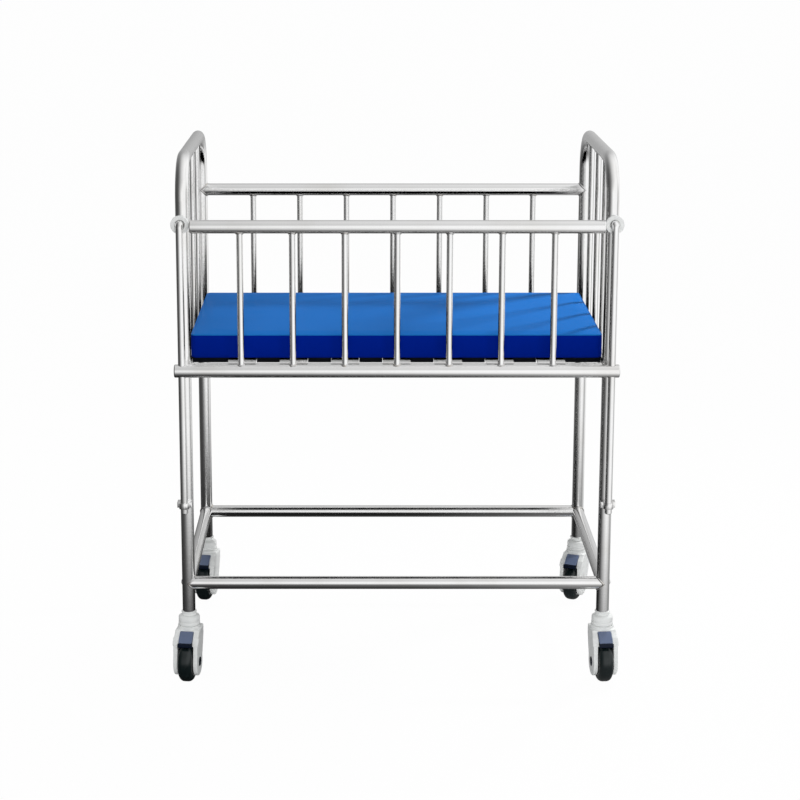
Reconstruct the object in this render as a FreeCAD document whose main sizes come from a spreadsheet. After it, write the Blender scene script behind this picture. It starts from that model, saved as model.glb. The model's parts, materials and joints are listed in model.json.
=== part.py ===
import FreeCAD, Part
import math
import os
import Sketcher
from FreeCAD import Placement, Rotation, Vector

# Hospital bassinet on four locking casters, in millimetres.
# X runs along the cot, Y from the drop side to the back, Z up.
# The origin is on the floor under the middle of the whole footprint.

DIMENSIONS = [
    ("footprint_shift_x", 1.19, "leg centre to footprint centre along X"),
    ("footprint_shift_y", 15.73, "leg centre to footprint centre along Y"),
    ("leg_span_x", 810, "leg centres along the cot"),
    ("leg_span_y", 470, "leg centres across the cot"),
    ("tube_dia", 25, "main tube outside"),
    ("tube_wall", 1.2, "main tube wall"),
    ("cope_trim", 3, "how far a coped tube stops short of the other tube's axis"),
    ("lower_rail_rise", 57, "lower rails' axis over the cut end of the legs"),
    ("bed_rail_rise", 428, "bed rails' axis over the lower rails' axis"),
    ("side_height", 280, "side top rails' axis over the bed rails' axis"),
    ("hoop_rise", 120, "hoops' top bars over the side top rails"),
    ("hoop_bend_radius", 75, "centreline bend of the hoops"),
    ("spindle_dia", 12, "spindle rod"),
    ("spindle_pitch", 98.5, "spindle spacing along the cot"),
    ("slat_width", 53, "bed slat width"),
    ("slat_thick", 3, "bed slat thickness"),
    ("slat_overhang", 6, "slat end past the bed rail's axis"),
    ("guard_rail_lift", 3, "drop side's bottom rail over the bed rails' axis"),
    ("guard_ring_gap", 1, "end of the drop side's top rail to the nylon ring"),
    ("guard_overhang", 14.5, "end of the drop side's bottom rail past the rod's axis"),
    ("cap_crown", 3, "end cap outside the tube"),
    ("cap_plug", 3, "end cap inside the tube"),
    ("rod_dia", 14, "guide rod"),
    ("rod_offset_x", 3, "guide rod outboard of the leg's axis"),
    ("rod_drop", 279, "lower end of the guide rods under the bed rails' axis"),
    ("rod_elbow_rise", 4, "axis of the elbow over the side top rails' axis"),
    ("rod_bend_radius", 7.5, "centreline bend of the elbow"),
    ("rod_chamfer", 1.5, "chamfer on the rods' lower ends"),
    ("rod_slack", 0.4, "radial slack of the bottom rail on the rods"),
    ("collar_rise", 7, "underside of the collars over the rods' lower ends"),
    ("collar_height", 18, "height of the rod collars"),
    ("collar_wall", 2.75, "wall of the rod collars"),
    ("collar_strap", 28, "width of the strap on the leg"),
    ("ring_wall", 8.25, "nylon ring, from hole to rim"),
    ("ring_play", 4.5, "nylon ring's hole over the rod's diameter"),
    ("ring_thick", 8, "nylon ring thickness"),
    ("ring_edge", 1.5, "edge radius of the nylon ring"),
    ("ring_side_gap", 0.25, "nylon ring to the leg and to the rod"),
    ("ring_rest", 0.2, "gap over the elbow that carries the ring"),
    ("mattress_end_gap", 3, "mattress to the end spindles"),
    ("mattress_side_gap", 15, "mattress to the rear spindles"),
    ("mattress_thick", 47, "mattress thickness"),
    ("mattress_corner", 12, "mattress corner radius"),
    ("mattress_edge", 5, "mattress edge radius"),
    ("mattress_lift", 0.3, "gap between the slats and the mattress"),
    ("wheel_dia", 80, "caster wheel"),
    ("tyre_width", 28, "tyre width"),
    ("tyre_depth", 11, "tyre from tread to rim"),
    ("tread_crown", 9, "rounded part of the tread at each side"),
    ("caster_trail", 20, "swivel axis to wheel axis"),
    ("axle_dia", 8, "wheel axle"),
    ("axle_slack", 0.05, "radial running clearance of the hub"),
    ("hub_end_gap", 0.4, "hub face to cheek"),
    ("cheek_side_gap", 1.5, "tyre to cheek"),
    ("cheek_wall", 8.5, "cheek thickness"),
    ("shoulder_step", 1.4, "front shoulders proud of the cheeks"),
    ("cheek_radius", 27.5, "rounded lower end of the cheeks"),
    ("well_gap", 3, "tread to the wheel well"),
    ("hood_rise", 22.6, "underside of the lip ring over the tyre"),
    ("lip_ring_height", 6.4, "height of the lip ring"),
    ("lip_ring_step", 1.25, "lip ring proud of the swivel head"),
    ("head_gap", 0.4, "running gap under the fixed head"),
    ("head_dia", 42, "fixed swivel head"),
    ("head_height", 19.6, "height of the fixed swivel head"),
    ("bush_collar", 8, "leg bush between the head and the leg"),
    ("bush_dia", 30, "collar of the leg bush"),
    ("bush_plug", 35, "leg bush inside the tube"),
    ("bush_slack", 0.05, "radial gap of the bush in the tube"),
    ("stem_dia", 11, "caster stem"),
    ("stem_slack", 0.05, "radial running clearance of the housing on the stem"),
    ("stem_head_step", 2, "button on the stem's lower end, proud of the stem"),
    ("stem_head_height", 3, "height of the button"),
    ("stem_sink", 13.6, "lower end of the stem under the lip ring"),
    ("cap_dia", 18, "axle cap"),
    ("cap_stand", 0.9, "axle cap proud of the cheek"),
    ("cap_recess", 1.6, "axle cap sunk in the cheek"),
    ("pedal_width", 26, "brake pedal"),
    ("pedal_lip_step", 1.5, "lip of the brake pedal, proud at each side"),
    ("pedal_gap", 0.4, "side gap of the brake pedal"),
    ("pivot_ahead", 14, "pedal pivot in front of the swivel axis"),
    ("pivot_sink", 9.6, "pedal pivot under the lip ring"),
    ("pivot_dia", 6, "pedal trunnion"),
    ("pivot_reach", 3.7, "trunnion past the pedal's side"),
    ("pivot_slack", 0.08, "radial running clearance of the trunnion"),
    ("yaw_front_left", -7, "caster heading at rest, degrees"),
    ("yaw_front_right", 5, "caster heading at rest, degrees"),
    ("yaw_rear_left", -10, "caster heading at rest, degrees"),
    ("yaw_rear_right", -24, "caster heading at rest, degrees"),
]

SIDE_SPINDLES = 7
END_SPINDLES = 3

doc = FreeCAD.newDocument("Bassinet")
sheet = doc.addObject("Spreadsheet::Sheet", "dims")
for row, (alias, value, note) in enumerate(DIMENSIONS, start=1):
    sheet.set("A%d" % row, note)
    sheet.set("B%d" % row, str(value))
    sheet.setAlias("B%d" % row, alias)
doc.recompute()


class Size:
    """A number from the sheet together with the expression that gives it."""

    def __init__(self, value, text):
        self.value = value
        self.text = text

    def join(self, other, sign, turned=False):
        if not isinstance(other, Size):
            other = Size(float(other), "(%g)" % other)
        a, b = (other, self) if turned else (self, other)
        result = {
            "+": a.value + b.value,
            "-": a.value - b.value,
            "*": a.value * b.value,
        }
        number = a.value / b.value if sign == "/" else result[sign]
        return Size(number, "(%s %s %s)" % (a.text, sign, b.text))

    def __add__(self, other):
        return self.join(other, "+")

    def __radd__(self, other):
        return self.join(other, "+", True)

    def __sub__(self, other):
        return self.join(other, "-")

    def __rsub__(self, other):
        return self.join(other, "-", True)

    def __mul__(self, other):
        return self.join(other, "*")

    def __rmul__(self, other):
        return self.join(other, "*", True)

    def __truediv__(self, other):
        return self.join(other, "/")

    def __neg__(self):
        return self.join(-1, "*")


def dim(alias):
    return Size(float(sheet.get(alias)), "dims." + alias)


def as_size(value):
    return value if isinstance(value, Size) else Size(float(value), "%g" % value)


def bind(obj, path, value):
    """Ties one property of an object to the sheet."""
    value = as_size(value)
    obj.setExpression(path, value.text)


def new_body(label, x=0, y=0, z=0, yaw=0, group=False):
    """A body whose own origin sits at x, y, z from the middle of the legs."""
    body = doc.addObject("PartDesign::Body", label)
    body.Label = label
    body.AllowCompound = group
    place_x = dim("footprint_shift_x") + x
    place_y = dim("footprint_shift_y") + y
    place_z = as_size(z)
    turn = as_size(yaw)
    spot = Vector(place_x.value, place_y.value, place_z.value)
    body.Placement = Placement(spot, Rotation(Vector(0, 0, 1), turn.value))
    bind(body, "Placement.Base.x", place_x)
    bind(body, "Placement.Base.y", place_y)
    bind(body, "Placement.Base.z", place_z)
    if turn.value:
        bind(body, "Placement.Rotation.Angle", turn)
    return body


def new_sketch(body, plane, offset=(0, 0, 0)):
    """A sketch on one of the body's own planes; offset is in the sketch's own axes."""
    sketch = body.newObject("Sketcher::SketchObject", body.Label + "_sketch")
    role = plane + "_Plane"
    support = [o for o in body.Origin.OriginFeatures if o.Role == role][0]
    sketch.AttachmentSupport = (support, [""])
    sketch.MapMode = "FlatFace"
    moves = [as_size(v) for v in offset]
    if any(m.value for m in moves):
        base = Vector(*[m.value for m in moves])
        sketch.AttachmentOffset = Placement(base, Rotation())
        for axis, move in zip("xyz", moves):
            bind(sketch, "AttachmentOffset.Base." + axis, move)
    return sketch


def pin_point(sketch, geometry, point, x, y):
    """Holds one point of a sketch at x, y."""
    for kind, value in (("DistanceX", as_size(x)), ("DistanceY", as_size(y))):
        rule = Sketcher.Constraint(kind, -1, 1, geometry, point, value.value)
        index = sketch.addConstraint(rule)
        if "dims." in value.text:
            bind(sketch, "Constraints[%d]" % index, value)


def circle(sketch, x, y, diameter):
    x, y, diameter = as_size(x), as_size(y), as_size(diameter)
    centre = Vector(x.value, y.value, 0)
    shape = Part.Circle(centre, Vector(0, 0, 1), diameter.value / 2)
    geometry = sketch.addGeometry(shape)
    pin_point(sketch, geometry, 3, x, y)
    index = sketch.addConstraint(Sketcher.Constraint("Diameter", geometry, diameter.value))
    bind(sketch, "Constraints[%d]" % index, diameter)


def polygon(sketch, points, closed=True):
    """Straight lines through points, each held at its place."""
    points = [(as_size(x), as_size(y)) for x, y in points]
    count = len(points) if closed else len(points) - 1
    first = None
    for i in range(count):
        x1, y1 = points[i]
        x2, y2 = points[(i + 1) % len(points)]
        start = Vector(x1.value, y1.value, 0)
        end = Vector(x2.value, y2.value, 0)
        line = sketch.addGeometry(Part.LineSegment(start, end))
        if first is None:
            first = line
        else:
            sketch.addConstraint(Sketcher.Constraint("Coincident", line - 1, 2, line, 1))
        pin_point(sketch, line, 1, x1, y1)
    if closed:
        sketch.addConstraint(Sketcher.Constraint("Coincident", line, 2, first, 1))
    else:
        pin_point(sketch, line, 2, x2, y2)


def rectangle(sketch, x_low, y_low, x_high, y_high):
    corners = [(x_low, y_low), (x_high, y_low), (x_high, y_high), (x_low, y_high)]
    polygon(sketch, corners)


def pad(body, sketch, length, symmetric=False, reverse=False):
    feature = body.newObject("PartDesign::Pad", body.Label + "_pad")
    feature.Profile = sketch
    if symmetric:
        feature.SideType = "Symmetric"
    feature.Reversed = reverse
    length = as_size(length)
    feature.Length = length.value
    bind(feature, "Length", length)
    return feature


def pocket(body, sketch, length, symmetric=False, reverse=False):
    feature = body.newObject("PartDesign::Pocket", body.Label + "_pocket")
    feature.Profile = sketch
    if symmetric:
        feature.SideType = "Symmetric"
    feature.Reversed = reverse
    length = as_size(length)
    feature.Length = length.value
    bind(feature, "Length", length)
    return feature


def revolve(body, sketch, axis):
    feature = body.newObject("PartDesign::Revolution", body.Label + "_revolution")
    feature.Profile = sketch
    feature.ReferenceAxis = (sketch, [axis])
    feature.Angle = 360
    return feature


def sweep(body, profile, spine):
    feature = body.newObject("PartDesign::AdditivePipe", body.Label + "_pipe")
    feature.Profile = profile
    feature.Spine = spine
    return feature


def round_edges(body, chosen, radius, kind="Fillet"):
    """Rounds or chamfers the body's edges for which chosen(edge) is true."""
    doc.recompute()
    base = body.Tip
    names = []
    for number, edge in enumerate(base.Shape.Edges, start=1):
        if chosen(edge):
            names.append("Edge%d" % number)
    feature = body.newObject("PartDesign::" + kind, body.Label + "_" + kind.lower())
    feature.Base = (base, names)
    radius = as_size(radius)
    path = "Radius" if kind == "Fillet" else "Size"
    setattr(feature, path, radius.value)
    bind(feature, path, radius)
    return feature


def near(a, b):
    return abs(a - b) < 0.01


# Sizes that several pieces share.
half_x = dim("leg_span_x") / 2
half_y = dim("leg_span_y") / 2
tube = dim("tube_dia")
bore = tube - dim("tube_wall") * 2
rod_x = half_x + dim("rod_offset_x")
setout = tube / 2 + dim("ring_thick") + dim("ring_side_gap") * 2 + dim("rod_dia") / 2
guard_y = -(half_y + setout)

# Heights, from the floor up.
wheel_r = dim("wheel_dia") / 2
wheel_z = wheel_r
ring_low = dim("wheel_dia") + dim("hood_rise")
ring_top = ring_low + dim("lip_ring_height")
head_low = ring_top + dim("head_gap")
head_top = head_low + dim("head_height")
foot_z = head_top + dim("bush_collar")
lower_z = foot_z + dim("lower_rail_rise")
bed_z = lower_z + dim("bed_rail_rise")
side_z = bed_z + dim("side_height")
hoop_z = side_z + dim("hoop_rise")
guard_low_z = bed_z + dim("guard_rail_lift")
rod_low_z = bed_z - dim("rod_drop")
elbow_z = side_z + dim("rod_elbow_rise")
deck_z = bed_z + tube / 2
slat_top = deck_z + dim("slat_thick")

# Lengths of the drop side and its rings.
ring_hole = dim("rod_dia") + dim("ring_play")
ring_dia = ring_hole + dim("ring_wall") * 2
guard_top_length = (rod_x - ring_dia / 2 - dim("guard_ring_gap")) * 2
guard_low_length = (rod_x + dim("guard_overhang")) * 2
ends = (("left", -1), ("right", 1))
nodes = []


def tube_section(sketch, x=0, y=0):
    circle(sketch, x, y, tube)
    circle(sketch, x, y, bore)


def finish(body):
    nodes.append(body)
    return body


def end_hoop(label, side):
    """One bent tube: two legs and the top bar between them."""
    body = new_body(label, half_x * side, 0, foot_z)
    height = hoop_z - foot_z
    bend = dim("hoop_bend_radius")
    profile = new_sketch(body, "XY")
    tube_section(profile, 0, -half_y)
    spine = new_sketch(body, "YZ")
    low, high, far, near_side = height - bend, height, half_y, half_y - bend
    runs = [
        ((-far, 0), (-far, low)),
        ((-near_side, high), (near_side, high)),
        ((far, low), (far, 0)),
    ]
    lines = []
    for start, end in runs:
        points = [(as_size(p[0]), as_size(p[1])) for p in (start, end)]
        vectors = [Vector(x.value, y.value, 0) for x, y in points]
        line = spine.addGeometry(Part.LineSegment(*vectors))
        pin_point(spine, line, 1, *points[0])
        pin_point(spine, line, 2, *points[1])
        lines.append(line)
    bends = (
        (-near_side, lines[0], lines[1], 90, 180),
        (near_side, lines[1], lines[2], 0, 90),
    )
    for x, before, after, from_deg, to_deg in bends:
        centre = Vector(x.value, low.value, 0)
        full = Part.Circle(centre, Vector(0, 0, 1), bend.value)
        sweep_of_arc = math.radians(from_deg), math.radians(to_deg)
        arc = spine.addGeometry(Part.ArcOfCircle(full, *sweep_of_arc))
        spine.addConstraint(Sketcher.Constraint("Coincident", before, 2, arc, 2))
        spine.addConstraint(Sketcher.Constraint("Coincident", arc, 1, after, 1))
        index = spine.addConstraint(Sketcher.Constraint("Radius", arc, bend.value))
        bind(spine, "Constraints[%d]" % index, bend)
    sweep(body, profile, spine)
    return finish(body)


def long_rail(label, y, z, side, meets_end_rail):
    """A tube between two legs along X; side is -1 at the front and 1 at the back."""
    body = new_body(label, 0, y, z, 0 if side < 0 else 180)
    section = new_sketch(body, "YZ")
    tube_section(section)
    pad(body, section, half_x * 2 - dim("cope_trim") * 2, symmetric=True)
    legs = new_sketch(body, "XY")
    for _, end in ends:
        circle(legs, half_x * end, 0, tube)
    pocket(body, legs, tube * 2, symmetric=True)
    if meets_end_rail:
        neighbours = new_sketch(body, "XZ")
        for _, end in ends:
            circle(neighbours, half_x * end, 0, tube)
        pocket(body, neighbours, tube)
    return finish(body)


def end_rail(label, side, z):
    """A tube between the two legs of one hoop, along Y."""
    body = new_body(label, half_x * side, 0, z)
    section = new_sketch(body, "XZ")
    tube_section(section)
    pad(body, section, half_y * 2 - dim("cope_trim") * 2, symmetric=True)
    legs = new_sketch(body, "XY")
    for _, end in ends:
        circle(legs, 0, half_y * end, tube)
    pocket(body, legs, tube * 2, symmetric=True)
    return finish(body)


def side_spindles(label, y, low, high, on_slats=False):
    """Upright rods along X, coped to the rail above and to the rail or slats below."""
    body = new_body(label, 0, y, low, group=True)
    height = high - low
    plan = new_sketch(body, "XY")
    middle = (SIDE_SPINDLES - 1) / 2
    for i in range(SIDE_SPINDLES):
        circle(plan, dim("spindle_pitch") * (i - middle), 0, dim("spindle_dia"))
    pad(body, plan, height)
    rails = new_sketch(body, "YZ")
    circle(rails, 0, height, tube)
    if not on_slats:
        circle(rails, 0, 0, tube)
    pocket(body, rails, half_x * 2, symmetric=True)
    return finish(body)


def end_spindles(label, side):
    """Upright rods between a bed end rail and its hoop's top bar."""
    low, high = bed_z, hoop_z
    body = new_body(label, half_x * side, 0, low, group=True)
    plan = new_sketch(body, "XY")
    pitch = dim("leg_span_y") / (END_SPINDLES + 1)
    middle = (END_SPINDLES - 1) / 2
    for i in range(END_SPINDLES):
        circle(plan, 0, pitch * (i - middle), dim("spindle_dia"))
    pad(body, plan, high - low)
    rails = new_sketch(body, "XZ")
    circle(rails, 0, 0, tube)
    circle(rails, 0, high - low, tube)
    pocket(body, rails, half_y * 2, symmetric=True)
    return finish(body)


def bed_slats():
    body = new_body("bed_slats", 0, 0, deck_z, group=True)
    plan = new_sketch(body, "XY")
    reach = half_y + dim("slat_overhang")
    middle = (SIDE_SPINDLES - 1) / 2
    for i in range(SIDE_SPINDLES):
        centre = dim("spindle_pitch") * (i - middle)
        edge = dim("slat_width") / 2
        rectangle(plan, centre - edge, -reach, centre + edge, reach)
    pad(body, plan, dim("slat_thick"))
    return finish(body)


def guide_rod(label, side):
    """The drop side's guide: an upright rod that bends back into the front leg."""
    body = new_body(label, rod_x * side, guard_y, rod_low_z)
    height = elbow_z - rod_low_z
    bend = dim("rod_bend_radius")
    section = new_sketch(body, "XY")
    circle(section, 0, 0, dim("rod_dia"))
    spine = new_sketch(body, "YZ")
    top = (height - bend).value
    upright = spine.addGeometry(Part.LineSegment(Vector(0, 0, 0), Vector(0, top, 0)))
    pin_point(spine, upright, 1, 0, 0)
    pin_point(spine, upright, 2, 0, height - bend)
    start = Vector(bend.value, height.value, 0)
    end = Vector(setout.value, height.value, 0)
    stub = spine.addGeometry(Part.LineSegment(start, end))
    pin_point(spine, stub, 1, bend, height)
    pin_point(spine, stub, 2, setout, height)
    centre = Vector(bend.value, top, 0)
    full = Part.Circle(centre, Vector(0, 0, 1), bend.value)
    elbow = spine.addGeometry(Part.ArcOfCircle(full, math.pi / 2, math.pi))
    spine.addConstraint(Sketcher.Constraint("Coincident", upright, 2, elbow, 2))
    spine.addConstraint(Sketcher.Constraint("Coincident", elbow, 1, stub, 1))
    index = spine.addConstraint(Sketcher.Constraint("Radius", elbow, bend.value))
    bind(spine, "Constraints[%d]" % index, bend)
    sweep(body, section, spine)
    leg = new_sketch(body, "XY")
    circle(leg, dim("rod_offset_x") * -side, setout, tube)
    pocket(body, leg, height * 3, symmetric=True)
    round_edges(body, lambda e: near(e.BoundBox.ZMax, 0), dim("rod_chamfer"), "Chamfer")
    return finish(body)


def rod_collars():
    """A short sleeve on the foot of each guide rod, with a strap welded to the leg."""
    body = new_body("rod_collars", 0, guard_y, rod_low_z + dim("collar_rise"), group=True)
    outside = dim("rod_dia") + dim("collar_wall") * 2
    reach = dim("collar_strap") / 2
    rear = setout - tube / 4
    sleeves = new_sketch(body, "XY")
    for _, end in ends:
        circle(sleeves, rod_x * end, 0, outside)
    pad(body, sleeves, dim("collar_height"))
    straps = new_sketch(body, "XY")
    for _, end in ends:
        middle = rod_x * end
        rectangle(straps, middle - reach, outside / 4, middle + reach, rear)
    pad(body, straps, dim("collar_height"))
    holes = new_sketch(body, "XY")
    for _, end in ends:
        circle(holes, rod_x * end, 0, dim("rod_dia"))
        circle(holes, half_x * end, setout, tube)
    pocket(body, holes, dim("collar_height") * 3, symmetric=True)
    return finish(body)


def rod_rings():
    """Nylon rings that hang on the elbows, between the rods and the legs."""
    rod_back = guard_y + dim("rod_dia") / 2
    leg_front = -(half_y + tube / 2)
    height = elbow_z + dim("rod_dia") / 2 - ring_hole / 2 + dim("ring_rest")
    body = new_body("rod_rings", 0, (rod_back + leg_front) / 2, height, group=True)
    section = new_sketch(body, "XZ")
    for _, end in ends:
        circle(section, rod_x * end, 0, ring_dia)
        circle(section, rod_x * end, 0, ring_hole)
    pad(body, section, dim("ring_thick"), symmetric=True)
    round_edges(body, lambda e: e.BoundBox.YLength < 0.01, dim("ring_edge"))
    return finish(body)


def guard_rail(label, z, length, bored):
    """A horizontal tube of the drop side; the bored one runs on the guide rods."""
    body = new_body(label, 0, guard_y, z)
    section = new_sketch(body, "YZ")
    tube_section(section)
    pad(body, section, length - dim("cap_crown") * 2, symmetric=True)
    if bored:
        holes = new_sketch(body, "XY")
        for _, end in ends:
            circle(holes, rod_x * end, 0, dim("rod_dia") + dim("rod_slack") * 2)
        pocket(body, holes, tube * 2, symmetric=True)
    return finish(body)


def guard_caps():
    """Domed caps that close both ends of both rails."""
    body = new_body("guard_end_caps", 0, guard_y, guard_low_z, group=True)
    rise = side_z - guard_low_z
    rails = ((0, guard_low_length), (rise, guard_top_length))
    for z, length in rails:
        for _, end in ends:
            seat = (length / 2 - dim("cap_crown")) * end
            inner = (length / 2 - dim("cap_crown") - dim("cap_plug")) * end
            crown = new_sketch(body, "YZ", (0, 0, seat))
            circle(crown, 0, z, tube)
            pad(body, crown, dim("cap_crown"), reverse=end < 0)
            plug = new_sketch(body, "YZ", (0, 0, inner))
            circle(plug, 0, z, bore)
            pad(body, plug, dim("cap_plug"), reverse=end < 0)
    outer = [(r[1] / 2).value for r in rails]
    rim = tube.value / 2

    def on_outer_rim(edge):
        box = edge.BoundBox
        at_end = any(near(abs(box.Center.x), x) for x in outer)
        return box.XLength < 0.01 and at_end and near(box.YMax, rim)

    round_edges(body, on_outer_rim, dim("cap_crown") * 0.8)
    return finish(body)


def mattress():
    body = new_body("mattress", 0, 0, slat_top + dim("mattress_lift"))
    plan = new_sketch(body, "XY")
    reach_x = half_x - dim("spindle_dia") / 2 - dim("mattress_end_gap")
    reach_y = half_y - dim("spindle_dia") / 2 - dim("mattress_side_gap")
    rectangle(plan, -reach_x, -reach_y, reach_x, reach_y)
    pad(body, plan, dim("mattress_thick"))
    round_edges(body, lambda e: e.BoundBox.ZLength > 1, dim("mattress_corner"))
    round_edges(body, lambda e: e.BoundBox.ZLength < 0.01, dim("mattress_edge"))
    return finish(body)


# Caster sizes, from the floor and the swivel axis.
wheel_y = -dim("caster_trail")
rim_r = wheel_r - dim("tyre_depth")
well_r = wheel_r + dim("well_gap")
ring_r = dim("head_dia") / 2 + dim("lip_ring_step")
stem_r = dim("stem_dia") / 2
stem_low = ring_low - dim("stem_sink")
cheek_in = dim("tyre_width") / 2 + dim("cheek_side_gap")
cheek = cheek_in + dim("cheek_wall")
shoulder = cheek + dim("shoulder_step")
pivot_y = -dim("pivot_ahead")
pivot_z = ring_low - dim("pivot_sink")
# The mouldings' own small steps grow with the wheel.
grow = dim("wheel_dia") / 80


def steps(points, y, z):
    """Profile points given as small steps from y, z."""
    return [(y + grow * across, z + grow * up) for across, up in points]


def leg_bush(label, x, y, yaw):
    """Moulded bush: a plug in the leg and a waisted collar under it."""
    body = new_body(label, x, y, 0, yaw)
    section = new_sketch(body, "XZ")
    wide = dim("bush_dia") / 2
    plug = bore / 2 - dim("bush_slack")
    polygon(section, [
        (stem_r, head_top),
        (wide - grow * 0.5, head_top),
        (wide - grow * 0.5, head_top + grow * 1.5),
        (wide - grow * 2, head_top + grow * 3),
        (wide - grow * 2, foot_z - grow * 3.2),
        (wide, foot_z - grow * 2.2),
        (wide, foot_z),
        (plug, foot_z),
        (plug, foot_z + dim("bush_plug")),
        (stem_r, foot_z + dim("bush_plug")),
    ])
    revolve(body, section, "V_Axis")
    return finish(body)


def caster_stem(label, x, y, yaw):
    """Steel stem from inside the leg to the button that carries the housing."""
    body = new_body(label, x, y, 0, yaw)
    section = new_sketch(body, "XZ")
    button_r = stem_r + dim("stem_head_step")
    button_top = stem_low + dim("stem_head_height")
    top = foot_z + dim("bush_plug")
    polygon(section, [
        (0, stem_low),
        (button_r, stem_low),
        (button_r, button_top),
        (stem_r, button_top),
        (stem_r, top),
        (0, top),
    ])
    revolve(body, section, "V_Axis")
    return finish(body)


def swivel_head(label, x, y, yaw):
    """Fixed upper race cover that the housing turns under."""
    body = new_body(label, x, y, 0, yaw)
    section = new_sketch(body, "XZ")
    wide = dim("head_dia") / 2
    polygon(section, [
        (stem_r, head_low),
        (wide - grow * 4, head_low),
        (wide - grow * 1.2, head_low + grow * 1.4),
        (wide, head_low + grow * 4.4),
        (wide, head_top - grow * 3),
        (wide - grow * 0.9, head_top - grow * 0.9),
        (wide - grow * 3, head_top),
        (stem_r, head_top),
    ])
    revolve(body, section, "V_Axis")
    return finish(body)


def housing(label, x, y, yaw):
    """White moulded fork: hood, two cheeks and the lip ring."""
    body = new_body(label, x, y, 0, yaw)
    round_r = dim("cheek_radius")
    side = new_sketch(body, "YZ")
    polygon(side, [
        (ring_r - grow * 0.6, ring_low + grow),
        (-ring_r, ring_low + grow),
        (-ring_r, ring_low - grow * 1.5),
        (wheel_y - grow * 14.5, ring_low - grow * 10.5),
        (wheel_y - grow * 21.5, ring_low - grow * 21),
        (wheel_y - grow * 22, ring_low - grow * 24.6),
        (wheel_y - round_r * 0.9, wheel_z + round_r * 0.58),
        (wheel_y - round_r * 0.98, wheel_z + round_r * 0.19),
        (wheel_y + round_r * 0.98, wheel_z + round_r * 0.19),
        (wheel_y + round_r * 1.24, wheel_z + round_r * 0.87),
        (ring_r - grow * 0.6, ring_low - grow * 18),
    ])
    pad(body, side, cheek * 2, symmetric=True)
    lobe = new_sketch(body, "YZ")
    circle(lobe, wheel_y, wheel_z, round_r * 2)
    pad(body, lobe, cheek * 2, symmetric=True)
    outer = cheek.value

    def on_side_rim(edge):
        box = edge.BoundBox
        return box.XLength < 0.01 and near(abs(box.Center.x), outer)

    round_edges(body, on_side_rim, grow * 2.5)
    ears = new_sketch(body, "YZ")
    polygon(ears, steps([
        (-22, -24.6),
        (-21.5, -20.5),
        (-14, -10.5),
        (-8, -12),
        (-8, -24.6),
    ], wheel_y, ring_low))
    pad(body, ears, shoulder * 2, symmetric=True)
    ring = new_sketch(body, "XY", (0, 0, ring_low))
    circle(ring, 0, 0, ring_r * 2)
    pad(body, ring, dim("lip_ring_height"))
    well = new_sketch(body, "YZ")
    circle(well, wheel_y, wheel_z, well_r * 2)
    pocket(body, well, cheek_in * 2, symmetric=True)
    slot = new_sketch(body, "YZ")
    slot_front = wheel_y - grow * 45
    slot_face = -ring_r - grow * 0.15
    slot_back = pivot_y + grow * 5.2
    slot_low, slot_high = ring_low - grow * 32.6, ring_low - grow * 3
    polygon(slot, [
        (slot_front, slot_low),
        (slot_front, ring_top + grow * 5),
        (slot_face, ring_top + grow * 5),
        (slot_face, slot_high),
        (slot_back, slot_high),
        (slot_back, slot_low),
    ])
    pocket(body, slot, dim("pedal_width") + dim("pedal_gap") * 2, symmetric=True)
    stem = new_sketch(body, "XY", (0, 0, ring_top))
    circle(stem, 0, 0, dim("stem_dia") + dim("stem_slack") * 2)
    pocket(body, stem, ring_top - wheel_z)
    button_top = stem_low + dim("stem_head_height") + grow * 0.3
    button = new_sketch(body, "XY", (0, 0, button_top))
    circle(button, 0, 0, dim("stem_dia") + dim("stem_head_step") * 2 + grow * 0.6)
    pocket(body, button, button_top - wheel_z)
    pins = new_sketch(body, "YZ")
    circle(pins, pivot_y, pivot_z, dim("pivot_dia") + dim("pivot_slack") * 2)
    reach = dim("pedal_width") + dim("pivot_reach") * 2
    pocket(body, pins, reach + grow * 0.6, symmetric=True)
    axle = new_sketch(body, "YZ")
    circle(axle, wheel_y, wheel_z, dim("axle_dia"))
    pocket(body, axle, shoulder * 2 + grow, symmetric=True)
    for _, end in ends:
        recess = new_sketch(body, "YZ", (0, 0, (cheek - dim("cap_recess")) * end))
        circle(recess, wheel_y, wheel_z, dim("cap_dia"))
        pocket(body, recess, dim("cap_recess") * 2, reverse=end > 0)
    return finish(body)


def brake_pedal(label, x, y, yaw):
    """Foot pedal on two trunnions in the hood, with a lip over the tyre."""
    body = new_body(label, x, y, 0, yaw)
    plate = new_sketch(body, "YZ")
    polygon(plate, [
        (-ring_r - grow * 0.75, ring_low - grow * 3.8),
        (-ring_r - grow * 0.75, ring_low - grow * 0.6),
    ] + steps([
        (-11.5, 8.4),
        (-20, 3),
        (-29, -4.5),
        (-34, -8.5),
        (-31.5, -10.5),
        (-26, -7.5),
        (-16, -4.5),
        (0, -4.5),
        (0, 4.5),
        (-4, 5.6),
    ], pivot_y, pivot_z))
    pad(body, plate, dim("pedal_width"), symmetric=True)
    boss = new_sketch(body, "YZ")
    circle(boss, pivot_y, pivot_z, grow * 9)
    pad(body, boss, dim("pedal_width"), symmetric=True)
    lip = new_sketch(body, "YZ")
    polygon(lip, steps([
        (-32, -9),
        (-34, -8),
        (-35, -16),
        (-31.8, -16),
    ], pivot_y, pivot_z))
    lip_width = dim("pedal_width") + dim("pedal_lip_step") * 2
    pad(body, lip, lip_width, symmetric=True)
    pins = new_sketch(body, "YZ")
    circle(pins, pivot_y, pivot_z, dim("pivot_dia"))
    pad(body, pins, dim("pedal_width") + dim("pivot_reach") * 2, symmetric=True)
    return finish(body)


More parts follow.
